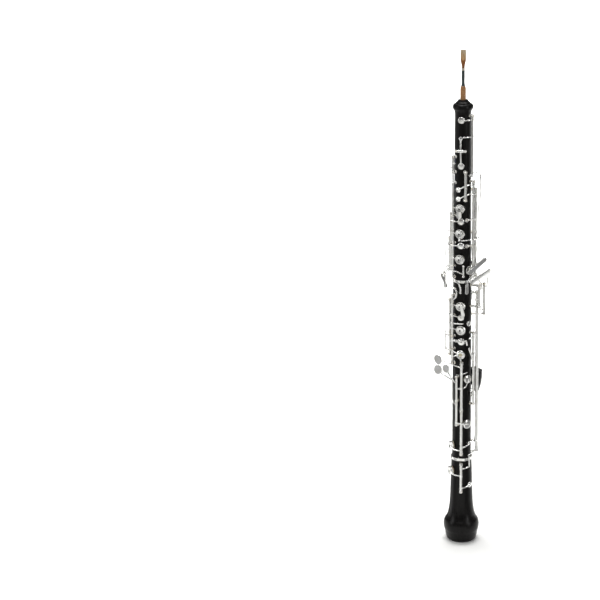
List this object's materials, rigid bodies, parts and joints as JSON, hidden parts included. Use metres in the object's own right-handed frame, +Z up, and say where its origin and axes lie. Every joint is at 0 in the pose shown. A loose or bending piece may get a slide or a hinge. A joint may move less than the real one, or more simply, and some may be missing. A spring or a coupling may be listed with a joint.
{
  "type": "oboe",
  "caption": "Full-system oboe: slim black wood body in three joints, conical bore, double reed, sprung silver keywork on posts and a thumb rest.",
  "frame": {"origin": "centre of the bell's mouth, on the bore's axis", "axes": "+Z up the bore from the bell to the reed; the finger holes face -Y; +X is the player's left"},
  "size_m": [0.0704, 0.0521, 0.655],
  "materials": {
    "black_wood": "oiled and polished blackwood, satin",
    "silver_key": "polished silver plate",
    "silver_post": "polished silver plate",
    "silver_ring": "polished silver plate",
    "steel_rod": "turned steel",
    "spring_steel": "blued spring steel",
    "black_plastic": "satin moulded plastic",
    "cork": "sanded cork",
    "cane": "scraped reed cane",
    "thread": "waxed thread",
    "staple_metal": "nickel-plated brass tube",
    "pad_skin": "thin bladder skin over felt"
  },
  "bodies": {
    "body": {"upper_joint": "black_wood", "lower_joint": "black_wood", "bell": "black_wood", "tenon_corks": "cork", "socket_rings": "silver_ring", "reed_cane": "cane", "reed_binding": "thread", "reed_staple": "staple_metal", "reed_cork": "cork", "hinge_rods": "steel_rod", "needle_springs": "spring_steel", "thumb_rest_plate": "silver_post", "thumb_rest_saddle": "black_plastic", "thumb_rest_screws": "steel_rod", "upper_posts": "silver_post", "lower_posts": "silver_post", "bell_posts": "silver_post"},
    "side_octave_key": {"side_octave_key": "silver_key"},
    "octave_rocker": {"octave_rocker": "silver_key"},
    "thumb_octave_key": {"thumb_octave_key": "silver_key"},
    "trill_pad_upper": {"trill_pad_upper": "silver_key"},
    "trill_pad_lower": {"trill_pad_lower": "silver_key"},
    "upper_trill_key": {"upper_trill_key": "silver_key"},
    "lower_trill_key": {"lower_trill_key": "silver_key"},
    "half_hole_key": {"half_hole_key": "silver_key", "half_hole_pad": "pad_skin"},
    "c_vent_key": {"c_vent_key": "silver_key"},
    "a_key": {"a_key": "silver_key", "a_pad": "pad_skin"},
    "b_flat_vent_key": {"b_flat_vent_key": "silver_key"},
    "g_key": {"g_key": "silver_key", "g_pad": "pad_skin"},
    "g_sharp_key": {"g_sharp_key": "silver_key"},
    "a_linkage_lever": {"a_linkage_lever": "silver_key"},
    "bridge_lever": {"bridge_lever": "silver_key"},
    "f_sharp_key": {"f_sharp_key": "silver_key", "f_sharp_pad": "pad_skin"},
    "f_sharp_vent_key": {"f_sharp_vent_key": "silver_key"},
    "f_resonance_key": {"f_resonance_key": "silver_key"},
    "e_key": {"e_key": "silver_key", "e_pad": "pad_skin"},
    "f_key": {"f_key": "silver_key", "f_pad": "pad_skin"},
    "d_key": {"d_key": "silver_key", "d_pad": "pad_skin"},
    "side_lever": {"side_lever": "silver_key"},
    "e_flat_key": {"e_flat_key": "silver_key", "e_flat_pad": "pad_skin"},
    "c_sharp_key": {"c_sharp_key": "silver_key", "c_sharp_pad": "pad_skin"},
    "c_touch_lever": {"c_touch_lever": "silver_key"},
    "c_key": {"c_key": "silver_key"},
    "low_b_key": {"low_b_key": "silver_key", "low_b_pad": "pad_skin"},
    "b_link": {"b_link": "silver_key"},
    "b_flat_link": {"b_flat_link": "silver_key"},
    "b_lever": {"b_lever": "silver_key"},
    "b_flat_lever": {"b_flat_lever": "silver_key"},
    "low_b_flat_key": {"low_b_flat_key": "silver_key", "low_b_flat_pad": "pad_skin"}
  },
  "joints": [
    {"name": "side_octave_key_hinge", "type": "hinge", "parent": "body", "child": "side_octave_key", "pos_m": [0.01317, -0.00532, 0.51845], "axis": [0, 0, 1], "range_deg": [0, 9], "stiffness_Nm_per_rad": 0.02, "springref_deg": -17.19},
    {"name": "octave_rocker_hinge", "type": "hinge", "parent": "body", "child": "octave_rocker", "pos_m": [0.00077, -0.01478, 0.53], "axis": [0.9986, 0.0523, 0], "range_deg": [-5.6, 0], "stiffness_Nm_per_rad": 0.02, "springref_deg": 17.19},
    {"name": "thumb_octave_key_hinge", "type": "hinge", "parent": "body", "child": "thumb_octave_key", "pos_m": [-0.0099, -0.011, 0.50349], "axis": [0, 0, 1], "range_deg": [-8, 0], "stiffness_Nm_per_rad": 0.02, "springref_deg": 17.19},
    {"name": "trill_pad_upper_hinge", "type": "hinge", "parent": "body", "child": "trill_pad_upper", "pos_m": [0.00672, -0.01319, 0.48842], "axis": [0, 0, 1], "range_deg": [0, 7], "stiffness_Nm_per_rad": 0.02, "springref_deg": -17.19},
    {"name": "trill_pad_lower_hinge", "type": "hinge", "parent": "body", "child": "trill_pad_lower", "pos_m": [0.00672, -0.01319, 0.47323], "axis": [0, 0, 1], "range_deg": [0, 7.01], "stiffness_Nm_per_rad": 0.02, "springref_deg": -17.19},
    {"name": "upper_trill_key_hinge", "type": "hinge", "parent": "body", "child": "upper_trill_key", "pos_m": [0.01475, -0.00368, 0.41561], "axis": [0, 0, 1], "range_deg": [-9.3, 0], "stiffness_Nm_per_rad": 0.02, "springref_deg": 17.19},
    {"name": "lower_trill_key_hinge", "type": "hinge", "parent": "body", "child": "lower_trill_key", "pos_m": [0.01648, 0.00202, 0.4505], "axis": [0, 0, 1], "range_deg": [-4.5, 0], "stiffness_Nm_per_rad": 0.02, "springref_deg": 17.19},
    {"name": "half_hole_key_hinge", "type": "hinge", "parent": "body", "child": "half_hole_key", "pos_m": [-0.0099, -0.011, 0.46445], "axis": [0, 0, 1], "range_deg": [0, 9], "stiffness_Nm_per_rad": 0.02, "springref_deg": -17.19},
    {"name": "c_vent_key_hinge", "type": "hinge", "parent": "body", "child": "c_vent_key", "pos_m": [-0.01315, -0.00821, 0.39633], "axis": [0, 0, 1], "range_deg": [-6, 0], "stiffness_Nm_per_rad": 0.02, "springref_deg": 17.19},
    {"name": "a_key_hinge", "type": "hinge", "parent": "body", "child": "a_key", "pos_m": [-0.0099, -0.011, 0.42775], "axis": [0, 0, 1], "range_deg": [0, 9], "stiffness_Nm_per_rad": 0.02, "springref_deg": -17.19},
    {"name": "b_flat_vent_key_hinge", "type": "hinge", "parent": "body", "child": "b_flat_vent_key", "pos_m": [-0.01574, -0.00422, 0.37907], "axis": [0, 0, 1], "range_deg": [-5, 0], "stiffness_Nm_per_rad": 0.02, "springref_deg": 17.19},
    {"name": "g_key_hinge", "type": "hinge", "parent": "body", "child": "g_key", "pos_m": [-0.0099, -0.011, 0.39475], "axis": [0, 0, 1], "range_deg": [0, 9], "stiffness_Nm_per_rad": 0.02, "springref_deg": -17.19},
    {"name": "g_sharp_key_hinge", "type": "hinge", "parent": "body", "child": "g_sharp_key", "pos_m": [0.01648, 0.00202, 0.3825], "axis": [0, 0, 1], "range_deg": [-8, 0], "stiffness_Nm_per_rad": 0.02, "springref_deg": 17.19},
    {"name": "a_linkage_lever_hinge", "type": "hinge", "parent": "body", "child": "a_linkage_lever", "pos_m": [0.01648, 0.00202, 0.4115], "axis": [0, 0, 1], "range_deg": [-2, 0], "stiffness_Nm_per_rad": 0.02, "springref_deg": 17.19},
    {"name": "bridge_lever_hinge", "type": "hinge", "parent": "body", "child": "bridge_lever", "pos_m": [-0.0099, -0.011, 0.3636], "axis": [0, 0, 1], "range_deg": [-5, 0], "stiffness_Nm_per_rad": 0.02, "springref_deg": 17.19},
    {"name": "f_sharp_key_hinge", "type": "hinge", "parent": "body", "child": "f_sharp_key", "pos_m": [-0.00985, -0.01261, 0.33402], "axis": [0, 0, 1], "range_deg": [0, 9], "stiffness_Nm_per_rad": 0.02, "springref_deg": -17.19},
    {"name": "f_sharp_vent_key_hinge", "type": "hinge", "parent": "body", "child": "f_sharp_vent_key", "pos_m": [-0.01393, -0.00939, 0.31975], "axis": [0, 0, 1], "range_deg": [-6, 0], "stiffness_Nm_per_rad": 0.02, "springref_deg": 17.19},
    {"name": "f_resonance_key_hinge", "type": "hinge", "parent": "body", "child": "f_resonance_key", "pos_m": [-0.01393, -0.00939, 0.29983], "axis": [0, 0, 1], "range_deg": [-4, 0], "stiffness_Nm_per_rad": 0.02, "springref_deg": 17.19},
    {"name": "e_key_hinge", "type": "hinge", "parent": "body", "child": "e_key", "pos_m": [-0.00985, -0.01261, 0.29975], "axis": [0, 0, 1], "range_deg": [0, 9], "stiffness_Nm_per_rad": 0.02, "springref_deg": -17.19},
    {"name": "f_key_hinge", "type": "hinge", "parent": "body", "child": "f_key", "pos_m": [-0.00985, -0.01261, 0.2775], "axis": [0, 0, 1], "range_deg": [-8, 0], "stiffness_Nm_per_rad": 0.02, "springref_deg": 17.19},
    {"name": "d_key_hinge", "type": "hinge", "parent": "body", "child": "d_key", "pos_m": [-0.00985, -0.01261, 0.25948], "axis": [0, 0, 1], "range_deg": [0, 9], "stiffness_Nm_per_rad": 0.02, "springref_deg": -17.19},
    {"name": "side_lever_hinge", "type": "hinge", "parent": "body", "child": "side_lever", "pos_m": [-0.01393, -0.00939, 0.27766], "axis": [0, 0, 1], "range_deg": [-8, 0], "stiffness_Nm_per_rad": 0.02, "springref_deg": 17.19},
    {"name": "e_flat_key_hinge", "type": "hinge", "parent": "body", "child": "e_flat_key", "pos_m": [-0.00321, -0.01649, 0.22475], "axis": [0, 0, 1], "range_deg": [-7, 0], "stiffness_Nm_per_rad": 0.02, "springref_deg": 17.19},
    {"name": "c_sharp_key_hinge", "type": "hinge", "parent": "body", "child": "c_sharp_key", "pos_m": [-0.00321, -0.01649, 0.20275], "axis": [0, 0, 1], "range_deg": [-7, 0], "stiffness_Nm_per_rad": 0.02, "springref_deg": 17.19},
    {"name": "c_touch_lever_hinge", "type": "hinge", "parent": "body", "child": "c_touch_lever", "pos_m": [0.00332, -0.01708, 0.22325], "axis": [0, 0, 1], "range_deg": [-2.6, 0], "stiffness_Nm_per_rad": 0.02, "springref_deg": 17.19},
    {"name": "c_key_hinge", "type": "hinge", "parent": "body", "child": "c_key", "pos_m": [0.01617, -0.00525, 0.2415], "axis": [0, 0, 1], "range_deg": [-8, 0], "stiffness_Nm_per_rad": 0.02, "springref_deg": 17.19},
    {"name": "low_b_key_hinge", "type": "hinge", "parent": "body", "child": "low_b_key", "pos_m": [0.00332, -0.01708, 0.155], "axis": [0, 0, 1], "range_deg": [-6.51, 0], "stiffness_Nm_per_rad": 0.02, "springref_deg": 17.19},
    {"name": "b_link_hinge", "type": "hinge", "parent": "body", "child": "b_link", "pos_m": [0.01899, 0.00066, 0.24005], "axis": [0, 0, 1], "range_deg": [0, 5.8], "stiffness_Nm_per_rad": 0.02, "springref_deg": -17.19},
    {"name": "b_flat_link_hinge", "type": "hinge", "parent": "body", "child": "b_flat_link", "pos_m": [0.01801, 0.00958, 0.22955], "axis": [0, 0, 1], "range_deg": [0, 3.61], "stiffness_Nm_per_rad": 0.02, "springref_deg": -17.19},
    {"name": "b_lever_hinge", "type": "hinge", "parent": "body", "child": "b_lever", "pos_m": [0.02328, -0.00495, 0.35918], "axis": [0, 0, 1], "range_deg": [-5.4, 0], "stiffness_Nm_per_rad": 0.02, "springref_deg": 17.19},
    {"name": "b_flat_lever_hinge", "type": "hinge", "parent": "body", "child": "b_flat_lever", "pos_m": [0.02705, 0.00725, 0.34463], "axis": [0, 0, 1], "range_deg": [-3.4, 0], "stiffness_Nm_per_rad": 0.02, "springref_deg": 17.19},
    {"name": "low_b_flat_key_hinge", "type": "hinge", "parent": "body", "child": "low_b_flat_key", "pos_m": [0.00344, -0.01767, 0.09825], "axis": [0, 0, 1], "range_deg": [-6.51, 0], "stiffness_Nm_per_rad": 0.02, "springref_deg": 17.19}
  ],
  "couplings": [
    {"joint": "octave_rocker_hinge", "follows": "thumb_octave_key_hinge", "ratio": 0.7},
    {"joint": "trill_pad_upper_hinge", "follows": "upper_trill_key_hinge", "ratio": -0.75269},
    {"joint": "trill_pad_lower_hinge", "follows": "lower_trill_key_hinge", "ratio": -1.5556},
    {"joint": "c_key_hinge", "follows": "c_touch_lever_hinge", "ratio": 3.0769},
    {"joint": "b_link_hinge", "follows": "b_lever_hinge", "ratio": -1.0741},
    {"joint": "low_b_key_hinge", "follows": "b_lever_hinge", "ratio": 1.2037},
    {"joint": "b_flat_link_hinge", "follows": "b_flat_lever_hinge", "ratio": -1.0588},
    {"joint": "low_b_flat_key_hinge", "follows": "b_flat_lever_hinge", "ratio": 1.9118}
  ]
}
